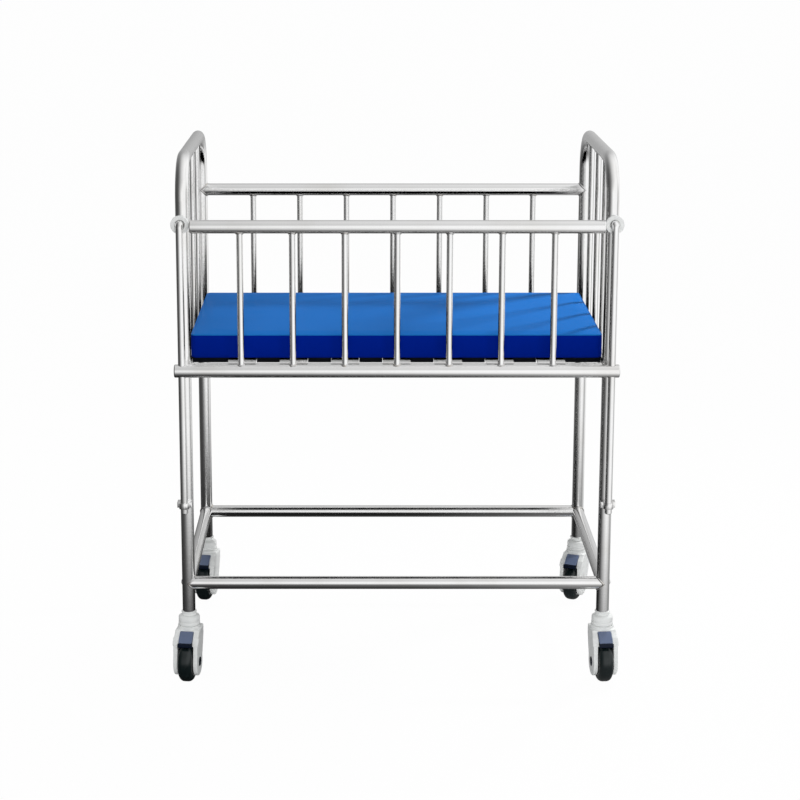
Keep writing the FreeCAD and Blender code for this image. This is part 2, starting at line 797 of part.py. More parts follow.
def wheel_axle(label, x, y, yaw):
    body = new_body(label, x, y, 0, yaw)
    section = new_sketch(body, "YZ")
    circle(section, wheel_y, wheel_z, dim("axle_dia"))
    pad(body, section, (cheek - dim("cap_recess")) * 2, symmetric=True)
    return finish(body)


def axle_caps(label, x, y, yaw):
    """Round covers over the axle's ends."""
    body = new_body(label, x, y, 0, yaw, group=True)
    for _, end in ends:
        face = new_sketch(body, "YZ", (0, 0, (cheek - dim("cap_recess")) * end))
        circle(face, wheel_y, wheel_z, dim("cap_dia"))
        pad(body, face, dim("cap_recess") + dim("cap_stand"), reverse=end < 0)
    proud = (cheek + dim("cap_stand")).value

    def on_face_rim(edge):
        return edge.BoundBox.XLength < 0.01 and near(abs(edge.BoundBox.Center.x), proud)

    round_edges(body, on_face_rim, dim("cap_stand") * 0.66)
    return finish(body)


def wheel_hub(label, x, y, yaw):
    """Moulded wheel centre with a thin web and a bored boss."""
    body = new_body(label, x, y, 0, yaw)
    section = new_sketch(body, "XY", (0, wheel_y, wheel_z))
    boss = cheek_in - dim("hub_end_gap")
    rim = dim("tyre_width") / 2 - grow * 2
    hole = dim("axle_dia") / 2 + dim("axle_slack")
    half = [
        (boss, hole),
        (boss, hole + grow * 5),
        (grow * 4, hole + grow * 6),
        (grow * 4, rim_r - grow * 5),
        (rim, rim_r - grow * 4),
        (rim, rim_r),
    ]
    mirrored = [(-across, r) for across, r in half]
    polygon(section, half + mirrored[::-1])
    revolve(body, section, "H_Axis")
    return finish(body)


def tyre(label, x, y, yaw):
    """Soft tyre with a crowned tread."""
    body = new_body(label, x, y, 0, yaw)
    section = new_sketch(body, "XY", (0, wheel_y, wheel_z))
    edge = dim("tyre_width") / 2
    crown = dim("tread_crown")
    flat = edge - crown
    half = [
        (edge, rim_r),
        (edge, wheel_r - crown * 0.9),
        (flat + crown * 0.92, wheel_r - crown * 0.58),
        (flat + crown * 0.71, wheel_r - crown * 0.28),
        (flat + crown * 0.38, wheel_r - crown * 0.07),
        (flat, wheel_r),
    ]
    mirrored = [(-across, r) for across, r in half]
    polygon(section, half + mirrored[::-1])
    revolve(body, section, "H_Axis")
    return finish(body)


def caster(name, x, y, yaw):
    leg_bush(name + "_leg_bush", x, y, yaw)
    caster_stem(name + "_caster_stem", x, y, yaw)
    swivel_head(name + "_swivel_head", x, y, yaw)
    housing(name + "_caster_housing", x, y, yaw)
    brake_pedal(name + "_brake_pedal", x, y, yaw)
    wheel_axle(name + "_wheel_axle", x, y, yaw)
    axle_caps(name + "_axle_caps", x, y, yaw)
    wheel_hub(name + "_wheel_hub", x, y, yaw)
    tyre(name + "_tyre", x, y, yaw)


for name, side in ends:
    end_hoop(name + "_end_hoop", side)
    end_rail(name + "_lower_end_rail", side, lower_z)
    end_rail(name + "_bed_end_rail", side, bed_z)
    end_spindles(name + "_end_spindles", side)
    guide_rod(name + "_guide_rod", side)
for name, side in (("front", -1), ("rear", 1)):
    long_rail(name + "_lower_rail", half_y * side, lower_z, side, True)
    long_rail(name + "_bed_rail", half_y * side, bed_z, side, True)
long_rail("rear_top_rail", half_y, side_z, 1, False)
side_spindles("rear_spindles", half_y, slat_top, side_z, on_slats=True)
bed_slats()
rod_collars()
rod_rings()
guard_rail("guard_top_rail", side_z, guard_top_length, False)
guard_rail("guard_bottom_rail", guard_low_z, guard_low_length, True)
side_spindles("guard_spindles", guard_y, guard_low_z, side_z)
guard_caps()
mattress()
for name, side_x, side_y in (
    ("front_left", -1, -1),
    ("front_right", 1, -1),
    ("rear_left", -1, 1),
    ("rear_right", 1, 1),
):
    caster(name, half_x * side_x, half_y * side_y, dim("yaw_" + name))

doc.recompute()
faults = []
for obj in doc.Objects:
    if "Invalid" in obj.State or "Error" in obj.State:
        faults.append("%s: %s" % (obj.Label, obj.State))
for body in nodes:
    if body.Shape.isNull() or not body.Shape.isValid():
        faults.append("%s has no valid shape" % body.Label)
if faults:
    raise RuntimeError("; ".join(faults))
os.makedirs("parts", exist_ok=True)
whole = None
for body in nodes:
    box = body.Shape.BoundBox
    if whole is None:
        whole = FreeCAD.BoundBox(box)
    else:
        whole.add(box)
    body.Shape.exportStep("parts/%s.step" % body.Label)
print("nodes", len(nodes))
print("box", whole)
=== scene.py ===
import json
import math

import bmesh
import bpy
from mathutils import Matrix, Vector, noise


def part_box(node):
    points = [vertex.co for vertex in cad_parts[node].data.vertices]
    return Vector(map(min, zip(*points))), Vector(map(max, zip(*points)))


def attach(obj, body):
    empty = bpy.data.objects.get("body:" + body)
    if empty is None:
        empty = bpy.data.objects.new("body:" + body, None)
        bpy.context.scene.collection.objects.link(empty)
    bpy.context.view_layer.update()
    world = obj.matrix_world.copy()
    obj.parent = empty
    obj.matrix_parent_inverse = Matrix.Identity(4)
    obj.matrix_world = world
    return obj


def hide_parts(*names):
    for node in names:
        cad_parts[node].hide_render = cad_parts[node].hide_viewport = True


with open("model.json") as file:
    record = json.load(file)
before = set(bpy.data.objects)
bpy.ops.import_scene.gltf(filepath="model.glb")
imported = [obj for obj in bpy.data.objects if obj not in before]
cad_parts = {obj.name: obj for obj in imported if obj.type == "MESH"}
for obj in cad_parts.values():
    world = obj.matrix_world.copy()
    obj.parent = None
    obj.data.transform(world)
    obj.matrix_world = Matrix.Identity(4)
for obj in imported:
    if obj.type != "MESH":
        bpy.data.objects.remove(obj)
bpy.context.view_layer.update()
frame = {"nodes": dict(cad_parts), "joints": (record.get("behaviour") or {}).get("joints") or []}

bl_info = {
    "name": "Hospital Bassinet",
    "version": (1, 0, 0),
    "blender": (4, 5, 0),
    "location": "View3D > Sidebar > Bassinet",
    "description": "Finishes a tubular steel hospital bassinet on its packed frame",
    "category": "Object",
}

MM = 0.001
TUBE = 25 * MM
SPINDLE = 12 * MM
ROD = 14 * MM
SLAT = 53 * MM
CORNER = 10 * MM
RIM = 4.5 * MM
SIDE_SPINDLES = 7
END_SPINDLES = 3
SLATS = 7
CLOTH_FRAMES = 20
CLOTH_PRESSURE = 4.0
CORNERS =("front_left", "front_right", "rear_left", "rear_right")
WHITE = (1.0, 1.0, 1.0, 1.0)


# Shader maths

class Maths:
    """One output of a shader node, whose operators add Math nodes."""

    def __init__(self, tree, socket=None):
        self.tree = tree
        self.socket = socket

    def node(self, kind, settings=None, values=None, out=0):
        """Adds a node: its settings first, then the values or links of its sockets."""
        made = self.tree.nodes.new(kind)
        for name, value in (settings or {}).items():
            if name == "stops":
                fill_ramp(made.color_ramp, value)
            else:
                setattr(made, name, value)
        for name, value in (values or {}).items():
            put(self.tree, made.inputs[name], value)
        return Maths(self.tree, made.outputs[out])

    def math(self, operation, *values, clamp=False):
        settings = {"operation": operation, "use_clamp": clamp}
        return self.node("ShaderNodeMath", settings, dict(enumerate((self,) + values)))

    def __add__(self, other):
        return self.math("ADD", other)

    def __sub__(self, other):
        return self.math("SUBTRACT", other)

    def __rsub__(self, other):
        return self * -1.0 + other

    def __mul__(self, other):
        return self.math("MULTIPLY", other)

    def clamp(self):
        return self.math("ADD", 0.0, clamp=True)

    def noise(self, scale, detail, roughness=0.5):
        values = {
            "Vector": self, "Scale": scale, "Detail": detail, "Roughness": roughness}
        return self.node("ShaderNodeTexNoise", values=values, out="Fac")

    def stretched(self, across_x, across_y, across_z):
        """The same coordinates with each axis squeezed by its own factor."""
        values = {"Vector": self, "Scale": (across_x, across_y, across_z)}
        return self.node("ShaderNodeMapping", values=values)

    def between(self, low, high):
        """Zero under low, one over high and a smooth step from one to the other."""
        settings = {"interpolation_type": "SMOOTHSTEP"}
        values = {"Value": self, "From Min": low, "From Max": high}
        return self.node("ShaderNodeMapRange", settings, values)

    def blend(self, first, second):
        """A colour mixed by this value."""
        settings = {"data_type": "RGBA"}
        values = {0: self, 6: first, 7: second}
        return self.node("ShaderNodeMix", settings, values, out=2)

    def ramp(self, low, high, points):
        """A grey value read off points (place, value) between low and high."""
        span = high - low
        stops = [((x - low) / span, (y, y, y, 1.0)) for x, y in points]
        place = (self - low) * (1.0 / span)
        made = self.node("ShaderNodeValToRGB", {"stops": stops}, {"Fac": place})
        return made.node("ShaderNodeRGBToBW", values={"Color": made})

    def bump(self, strength, distance):
        values = {"Height": self, "Strength": strength, "Distance": distance}
        return self.node("ShaderNodeBump", values=values)


def fill_ramp(ramp, stops):
    while len(ramp.elements) < len(stops):
        ramp.elements.new(0.5)
    for element, (place, colour) in zip(ramp.elements, stops):
        element.position = place
        element.color = colour


def put(tree, socket, value):
    """Links a Maths value to a socket, or sets the socket to a constant."""
    if isinstance(value, Maths):
        tree.links.new(value.socket, socket)
    else:
        socket.default_value = value


def new_material(name):
    """A material with its Principled shader and its object coordinates."""
    material = bpy.data.materials.new(name)
    material.use_nodes = True
    tree = material.node_tree
    shader = tree.nodes["Principled BSDF"]
    coords = Maths(tree).node("ShaderNodeTexCoord", out="Object")
    return material, shader, coords


def finish_shader(shader, **sockets):
    tree = shader.id_data
    for name, value in sockets.items():
        put(tree, shader.inputs[name.replace("_", " ")], value)


# Meshes

def new_piece(name, mesh_or_bmesh, body, material):
    """An object at the origin that rides on a body, with its place in its mesh."""
    if isinstance(mesh_or_bmesh, bmesh.types.BMesh):
        mesh = bpy.data.meshes.new(name)
        mesh_or_bmesh.to_mesh(mesh)
        mesh_or_bmesh.free()
    else:
        mesh = mesh_or_bmesh
    mesh.name = name
    mesh.materials.clear()
    mesh.materials.append(material)
    mesh.polygons.foreach_set("use_smooth", [True] * len(mesh.polygons))
    piece = bpy.data.objects.new(name, mesh)
    bpy.context.scene.collection.objects.link(piece)
    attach(piece, body)
    return piece


def stage_piece(name, bm):
    """A mesh of the stage, which is not part of the bassinet."""
    mesh = bpy.data.meshes.new(name)
    bm.to_mesh(mesh)
    bm.free()
    piece = bpy.data.objects.new(name, mesh)
    bpy.context.scene.collection.objects.link(piece)
    return piece


def cad_copy(node):
    """A merged copy of a CAD node's mesh, as a bmesh."""
    bm = bmesh.new()
    bm.from_mesh(frame["nodes"][node].data)
    bmesh.ops.remove_doubles(bm, verts=bm.verts, dist=1e-6)
    return bm


def apply_modifiers(piece):
    """Puts the result of a piece's modifiers into its mesh."""
    graph = bpy.context.evaluated_depsgraph_get()
    shaped = bpy.data.meshes.new_from_object(piece.evaluated_get(graph))
    piece.modifiers.clear()
    old = piece.data
    name = old.name
    piece.data = shaped
    bpy.data.meshes.remove(old)
    shaped.name = name


def soften(piece, grain, rounds):
    """Remeshes a moulded piece and rounds its edges."""
    remesh = piece.modifiers.new("Remesh", "REMESH")
    remesh.mode = "VOXEL"
    remesh.voxel_size = grain
    remesh.use_smooth_shade = True
    smooth = piece.modifiers.new("Smooth", "SMOOTH")
    smooth.factor = 0.5
    smooth.iterations = rounds
    apply_modifiers(piece)


def middle(node):
    """The centre of a node's box."""
    low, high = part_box(node)
    return (low + high) / 2


def bead_mesh(name, seams, radius, ripple=0.0):
    """A mesh of round beads that follow closed lines of points."""
    curve = bpy.data.curves.new(name, "CURVE")
    curve.dimensions = "3D"
    curve.bevel_depth = radius
    curve.bevel_resolution = 2
    for seam in seams:
        spline = curve.splines.new("POLY")
        spline.points.add(len(seam) - 1)
        for point, place in zip(spline.points, seam):
            point.co = (*place, 1.0)
            point.radius = 1.0 + ripple * noise.noise(place * 260.0)
        spline.use_cyclic_u = True
    holder = bpy.data.objects.new(name, curve)
    mesh = bpy.data.meshes.new_from_object(holder)
    bpy.data.objects.remove(holder)
    bpy.data.curves.remove(curve)
    return mesh


def saddle(centre, run, out, run_radius, branch_radius, skew=0.0, steps=28):
    """The line where a branch tube meets the tube that it is welded to."""
    run, out = Vector(run), Vector(out)
    side = run.cross(out)
    line = []
    for step in range(steps):
        turn = 2 * math.pi * step / steps
        across = branch_radius * math.sin(turn) + skew
        height = math.sqrt(max(run_radius ** 2 - across ** 2, 0.0))
        line.append(centre + run * branch_radius * math.cos(turn)
                    + side * across + out * height)
    return line


# Sizes and colours a user would change

class SteelSettings(bpy.types.PropertyGroup):
    """Finish of the polished steel."""

    colour: bpy.props.FloatVectorProperty(
        name="Steel", description="Reflectance of the polished tube",
        subtype="COLOR", size=4, min=0.0, max=1.0, default=(0.93, 0.93, 0.93, 1.0))
    tint: bpy.props.FloatVectorProperty(
        name="Tint", description="Warm stain left by polishing and heat",
        subtype="COLOR", size=4, min=0.0, max=1.0, default=(0.80, 0.785, 0.755, 1.0))
    roughness: bpy.props.FloatProperty(
        name="Roughness", description="Roughness of the polished tube",
        default=0.09, min=0.0, max=1.0)
    collar: bpy.props.FloatProperty(
        name="Collar", description="Height of the straps on the guide rods' feet",
        subtype="DISTANCE", unit="LENGTH", default=0.011, min=0.005, max=0.018)
    bead: bpy.props.FloatProperty(
        name="Weld bead", description="Radius of the weld beads on the tubes",
        subtype="DISTANCE", unit="LENGTH", default=0.0019, min=0.0005, max=0.004)


class MattressSettings(bpy.types.PropertyGroup):
    """Shape and colours of the mattress."""

    top: bpy.props.FloatVectorProperty(
        name="Top", description="Vinyl on the top and bottom panels",
        subtype="COLOR", size=4, min=0.0, max=1.0, default=(0.012, 0.148, 0.50, 1.0))
    # The border is the same vinyl as the top, painted a darker navy: painted shade on the sides.
    border: bpy.props.FloatVectorProperty(
        name="Border", description="Vinyl round the sides",
        subtype="COLOR", size=4, min=0.0, max=1.0, default=(0.0002, 0.015, 0.27, 1.0))
    # Black of the cover's underside and of the panels hung between the slats: painted shade
    # under the mattress.
    base: bpy.props.FloatVectorProperty(
        name="Base", description="Non-slip cover of the underside",
        subtype="COLOR", size=4, min=0.0, max=1.0, default=(0.006, 0.007, 0.010, 1.0))
    sag: bpy.props.FloatProperty(
        name="Sag", description="How far the underside hangs between two slats",
        subtype="DISTANCE", unit="LENGTH", default=0.0078, min=0.0, max=0.012)
    seam: bpy.props.FloatProperty(
        name="Seam", description="Radius of the welded seam round the edges",
        subtype="DISTANCE", unit="LENGTH", default=0.0009, min=0.0, max=0.003)
    crown: bpy.props.FloatProperty(
        name="Crown", description="How far the cover may swell over the foam block",
        subtype="DISTANCE", unit="LENGTH", default=0.0025, min=0.0, max=0.01)
    cell: bpy.props.FloatProperty(
        name="Cell", description="Spacing of the cover's mesh",
        subtype="DISTANCE", unit="LENGTH", default=0.008, min=0.003, max=0.02)


class CasterSettings(bpy.types.PropertyGroup):
    """Colours and finish of the casters."""

    shell: bpy.props.FloatVectorProperty(
        name="Shell", description="White plastic of the housings and bushes",
        subtype="COLOR", size=4, min=0.0, max=1.0, default=(0.94, 0.955, 0.94, 1.0))
    pedal: bpy.props.FloatVectorProperty(
        name="Pedal", description="Slate blue of the pedal",
        subtype="COLOR", size=4, min=0.0, max=1.0, default=(0.13, 0.17, 0.28, 1.0))
    lip: bpy.props.FloatVectorProperty(
        name="Lip", description="Navy of the pedal's lip and the axle caps",
        subtype="COLOR", size=4, min=0.0, max=1.0, default=(0.003, 0.007, 0.020, 1.0))
    tyre: bpy.props.FloatVectorProperty(
        name="Tyre", description="Dark rubber of the tyre",
        subtype="COLOR", size=4, min=0.0, max=1.0, default=(0.005, 0.011, 0.012, 1.0))
    grain: bpy.props.FloatProperty(
        name="Grain", description="Voxel size of the moulded pieces' mesh",
        subtype="DISTANCE", unit="LENGTH", default=0.0008, min=0.0004, max=0.002)
    lip_height: bpy.props.FloatProperty(
        name="Lip height", description="Height where the pedal and its lip part",
        subtype="DISTANCE", unit="LENGTH", default=0.085, min=0.07, max=0.1)


class StageSettings(bpy.types.PropertyGroup):
    """Camera and light."""

    eye: bpy.props.FloatVectorProperty(
        name="Eye", description="Where the camera stands",
        subtype="TRANSLATION", unit="LENGTH", default=(-0.068, -3.9576, 1.4973))
    pitch: bpy.props.FloatProperty(
        name="Pitch", description="How far the camera looks down",
        subtype="ANGLE", unit="ROTATION", default=math.radians(11.773))
    focal_pixels: bpy.props.FloatProperty(
        name="Focal length", description="Focal length in pixels of the image",
        default=2008.21, min=100.0)
    centre_x: bpy.props.FloatProperty(
        name="Centre X", description="Principal point from the left, in pixels",
        default=360.42)
    centre_y: bpy.props.FloatProperty(
        name="Centre Y", description="Principal point from the top, in pixels",
        default=320.0)
    image_size: bpy.props.FloatProperty(
        name="Image", description="Width and height of the square image, in pixels",
        default=800.0)
    sky: bpy.props.FloatProperty(
        name="Sky", description="Strength of the light from all round", default=0.40)
    window: bpy.props.FloatProperty(
        name="Window", description="Watts of the lamp behind on the right",
        default=15.0)
    front: bpy.props.FloatProperty(
        name="Front", description="Watts of the panel over the camera",
        default=62.0)
    ceiling: bpy.props.FloatProperty(
        name="Ceiling", description="Watts of the panel overhead",
        default=16.0)


SETTINGS = {
    "bassinet_stage": StageSettings,
    "bassinet_steel": SteelSettings,
    "bassinet_mattress": MattressSettings,
    "bassinet_caster": CasterSettings,
}


# Materials

def seen_white(tree, shader, strength):
    """Shows white to the camera and in mirrors and glass, and lights as the shader."""
    path = tree.nodes.new("ShaderNodeLightPath")
    camera, mirrored, through = (
        Maths(tree, path.outputs[ray])
        for ray in ("Is Camera Ray", "Is Glossy Ray", "Is Transmission Ray"))
    seen = (camera + mirrored + through).clamp()
    lamp = tree.nodes.new("ShaderNodeEmission")
    lamp.inputs["Color"].default_value = WHITE
    mixed = tree.nodes.new("ShaderNodeMixShader")
    put(tree, mixed.inputs[0], seen * strength)
    tree.links.new(shader, mixed.inputs[1])
    tree.links.new(lamp.outputs[0], mixed.inputs[2])
    return mixed.outputs[0]


def steel_material(name, along):
    """Polished stainless steel; the polishing lines run round the tube's axis."""
    steel = bpy.context.scene.bassinet_steel
    material, shader, coords = new_material(name)
    squeeze = [1.0 if axis == along else 0.03 for axis in "XYZ"]
    lines = coords.stretched(*squeeze).noise(1500.0, 3.0, 0.6)
    stain = coords.noise(9.0, 4.0).between(0.45, 0.75)
    smear = coords.noise(45.0, 3.0).between(0.35, 0.7)
    finish_shader(
        shader,
        Base_Color=(stain * 0.5).blend(tuple(steel.colour), tuple(steel.tint)),
        Metallic=1.0,
        Roughness=lines * 0.05 + smear * 0.05 + steel.roughness,
        Normal=lines.bump(0.35, 0.0002),
    )
    return material


def weld_material():
    """Ground weld metal with ripples and a straw-coloured heat tint."""
    material, shader, coords = new_material("weld_metal")
    ripple = coords.noise(1400.0, 2.0)
    tint = coords.noise(60.0, 2.0).between(0.4, 0.65)
    finish_shader(
        shader,
        Base_Color=(tint * 0.6).blend((0.72, 0.72, 0.72, 1.0), (0.56, 0.50, 0.42, 1.0)),
        Metallic=1.0,
        Roughness=ripple * 0.25 + 0.2,
        Normal=ripple.bump(0.35, 0.0004),
    )
    return material


def vinyl_material(name, colour, gloss):
    """Coated hospital vinyl with a fine leather grain and soft creases."""
    material, shader, coords = new_material(name)
    grain = coords.node(
        "ShaderNodeTexVoronoi", {"feature": "SMOOTH_F1"},
        {"Vector": coords, "Scale": 900.0, "Smoothness": 0.7}, out="Distance")
    crease = coords.stretched(0.5, 1.4, 1.0).noise(14.0, 3.0, 0.45)
    fade = coords.noise(3.0, 2.0).between(0.3, 0.7)
    light = tuple(min(c * 1.22, 1.0) for c in colour[:3]) + (1.0,)
    height = grain * 0.12 + crease
    finish_shader(
        shader,
        Base_Color=(fade * 0.5).blend(tuple(colour), light),
        Roughness=grain * 0.1 + gloss,
        Normal=height.bump(0.12, 0.002),
    )
    shader.inputs["Specular IOR Level"].default_value = 0.01
    return material


def plastic_material(name, colour, gloss, shine=0.5):
    """Moulded plastic with a fine spark-eroded texture and dulled scuffs."""
    material, shader, coords = new_material(name)
    texture = coords.noise(2600.0, 2.0)
    scuff = coords.noise(120.0, 4.0, 0.6).between(0.5, 0.8)
    dull = tuple(c * 0.92 for c in colour[:3]) + (1.0,)
    finish_shader(
        shader,
        Base_Color=scuff.blend(tuple(colour), dull),
        Roughness=scuff * 0.15 + gloss,
        Normal=texture.bump(0.06, 0.0002),
    )
    shader.inputs["Specular IOR Level"].default_value = shine
    return material


def rubber_material(name, colour):
    """Dark tyre rubber with patches of dust."""
    material, shader, coords = new_material(name)
    dust = coords.noise(220.0, 5.0, 0.65).between(0.5, 0.85)
    texture = coords.noise(1800.0, 3.0)
    finish_shader(
        shader,
        Base_Color=(dust * 0.12).blend(tuple(colour), (0.10, 0.11, 0.105, 1.0)),
        Roughness=dust * 0.2 + 0.28,
        Normal=texture.bump(0.08, 0.0003),
    )
    shader.inputs["Specular IOR Level"].default_value = 0.55
    return material


def paint(nodes, material):
    for node in nodes:
        mesh = frame["nodes"][node].data
        mesh.materials.clear()
        mesh.materials.append(material)


def all_corners(*tails):
    return [corner + "_" + tail for corner in CORNERS for tail in tails]


# Operators

class BASSINET_OT_stage(bpy.types.Operator):
    """Adds the camera, the lamps, the floor and the white surroundings"""

    bl_idname = "bassinet.stage"
    bl_label = "Stage"

    def execute(self, context):
        stage = context.scene.bassinet_stage
        self.add_camera(context, stage)
        self.add_world(context, stage)
        self.add_floor()
        self.add_lamps(context, stage)
        self.add_curtain()
        context.scene.view_settings.view_transform = "Standard"
        return {"FINISHED"}

    def add_camera(self, context, stage):
        lens = bpy.data.cameras.new("camera")
        lens.sensor_width = 36.0
        lens.lens = stage.focal_pixels / stage.image_size * lens.sensor_width
        lens.shift_x = (stage.image_size / 2 - stage.centre_x) / stage.image_size
        lens.shift_y = (stage.centre_y - stage.image_size / 2) / stage.image_size
        camera = bpy.data.objects.new("camera", lens)
        camera.location = stage.eye
        camera.rotation_euler = (math.pi / 2 - stage.pitch, 0.0, 0.0)
        context.scene.collection.objects.link(camera)
        context.scene.camera = camera

    def add_world(self, context, stage):
        """A white background, and an even light from all round."""
        world = bpy.data.worlds.new("surroundings")
        context.scene.world = world
        world.use_nodes = True
        world.cycles.sampling_method = "NONE"
        tree = world.node_tree
        light = tree.nodes["Background"]
        light.inputs["Color"].default_value = (0.97, 0.98, 1.0, 1.0)
        light.inputs["Strength"].default_value = stage.sky
        shown = seen_white(tree, light.outputs[0], 1.0)
        tree.links.new(shown, tree.nodes["World Output"].inputs["Surface"])

    def add_floor(self):
        bm = bmesh.new()
        bmesh.ops.create_grid(bm, x_segments=1, y_segments=1, size=30.0)
        floor = stage_piece("floor", bm)
        material, shader, _ = new_material("pale_floor")
        finish_shader(shader, Base_Color=(0.9, 0.9, 0.9, 1.0), Roughness=0.9)
        tree = material.node_tree
        shown = seen_white(tree, shader.outputs[0], 0.98)
        tree.links.new(shown, tree.nodes["Material Output"].inputs["Surface"])
        floor.data.materials.append(material)

    def add_lamps(self, context, stage):
        """A window behind on the right, and soft panels in front and overhead."""
        lamps = (
            ("window", (1.05, 0.68, 1.50), (0.16, 0.16), stage.window),
            ("front_panel", (0.5, -4.0, 2.6), (2.6, 1.6), stage.front),
            ("ceiling_panel", (0.0, 0.3, 3.4), (2.4, 2.4), stage.ceiling),
        )
        for name, place, size, power in lamps:
            lamp = bpy.data.lights.new(name, "AREA")
            lamp.shape = "RECTANGLE"
            lamp.size, lamp.size_y = size
            lamp.energy = power
            holder = bpy.data.objects.new(name, lamp)
            holder.location = place
            aim = Vector((0.0, 0.0, 0.6)) - Vector(place)
            holder.rotation_euler = aim.to_track_quat("-Z", "Y").to_euler()
            holder.visible_glossy = False
            context.scene.collection.objects.link(holder)

    def add_curtain(self):
        """A black dome that mirrors alone see, closed on the left and low down."""
        bm = bmesh.new()
        bmesh.ops.create_uvsphere(bm, u_segments=64, v_segments=32, radius=12.0)
        everything = bm.verts[:] + bm.edges[:] + bm.faces[:]
        cut = bmesh.ops.bisect_plane(bm, geom=everything, plane_co=(0, 0, 0.004),
                                     plane_no=(0, 0, 1), clear_inner=True)
        rim = [e for e in cut["geom_cut"] if isinstance(e, bmesh.types.BMEdge)]
        bmesh.ops.holes_fill(bm, edges=rim)
        curtain = stage_piece("black_curtain", bm)
        material, shader, coords = new_material("curtain_black")
        finish_shader(shader, Base_Color=(0.0, 0.0, 0.0, 1.0), Roughness=1.0)
        shader.inputs["Specular IOR Level"].default_value = 0.0
        tree = material.node_tree
        clear = tree.nodes.new("ShaderNodeBsdfTransparent")
        mixed = tree.nodes.new("ShaderNodeMixShader")
        put(tree, mixed.inputs[0], 1.0 - self.openness(coords))
        tree.links.new(clear.outputs[0], mixed.inputs[1])
        tree.links.new(shader.outputs[0], mixed.inputs[2])
        surface = tree.nodes["Material Output"].inputs["Surface"]
        tree.links.new(mixed.outputs[0], surface)
        curtain.data.materials.append(material)
        for ray in ("camera", "diffuse", "shadow", "transmission"):
            setattr(curtain, "visible_" + ray, False)

    def openness(self, coords):
        """How much of the white background the curtain lets through, by direction."""
        away = coords.node("ShaderNodeVectorMath", {"operation": "SUBTRACT"},
                           {0: coords, 1: (0.0, 0.0, 0.22)})
        way = coords.node("ShaderNodeVectorMath", {"operation": "NORMALIZE"}, {0: away})
        side, depth, height = (
            coords.node("ShaderNodeSeparateXYZ", values={"Vector": way}, out=axis)
            for axis in "XYZ")
        by_height = height.ramp(-1.0, 1.0, (
            (-1.0, 0.01), (-0.8, 0.02), (-0.55, 0.07), (-0.35, 0.18), (-0.22, 0.42),
            (-0.12, 0.78), (0.0, 1.0), (0.30, 1.0), (0.45, 0.82), (0.70, 0.66),
            (1.0, 0.74)))
        by_side = side.ramp(-1.0, 1.0, (
            (-1.0, 0.07), (-0.9, 0.09), (-0.75, 0.16), (-0.5, 0.40), (-0.25, 0.75),
            (0.0, 1.0), (0.25, 1.2), (0.6, 1.5), (0.88, 1.2), (1.0, 0.55)))
        by_depth = depth.ramp(-1.0, 1.0, (
            (-1.0, 1.0), (0.3, 1.0), (0.6, 0.9), (0.85, 0.60), (1.0, 0.45)))
        return (by_height * by_side * by_depth).clamp()


class BASSINET_OT_steelwork(bpy.types.Operator):
    """Polishes the tubes, rods and slats"""

    bl_idname = "bassinet.steelwork"
    bl_label = "Steelwork"

    def execute(self, context):
        along_x = steel_material("tube_along_x", "X")
        along_y = steel_material("tube_along_y", "Y")
        upright = steel_material("tube_upright", "Z")
        ends = ("left", "right")
        paint(["front_lower_rail", "rear_lower_rail", "front_bed_rail", "rear_bed_rail",
               "rear_top_rail", "guard_top_rail", "guard_bottom_rail",
               "guard_end_caps"], along_x)
        paint([end + tail for end in ends
               for tail in ("_lower_end_rail", "_bed_end_rail")], along_y)
        paint(["bed_slats"], along_y)
        paint([end + tail for end in ends
               for tail in ("_end_hoop", "_end_spindles", "_guide_rod")], upright)
        paint(["rear_spindles", "guard_spindles"], upright)
        paint(all_corners("caster_stem", "wheel_axle"), upright)
        return {"FINISHED"}


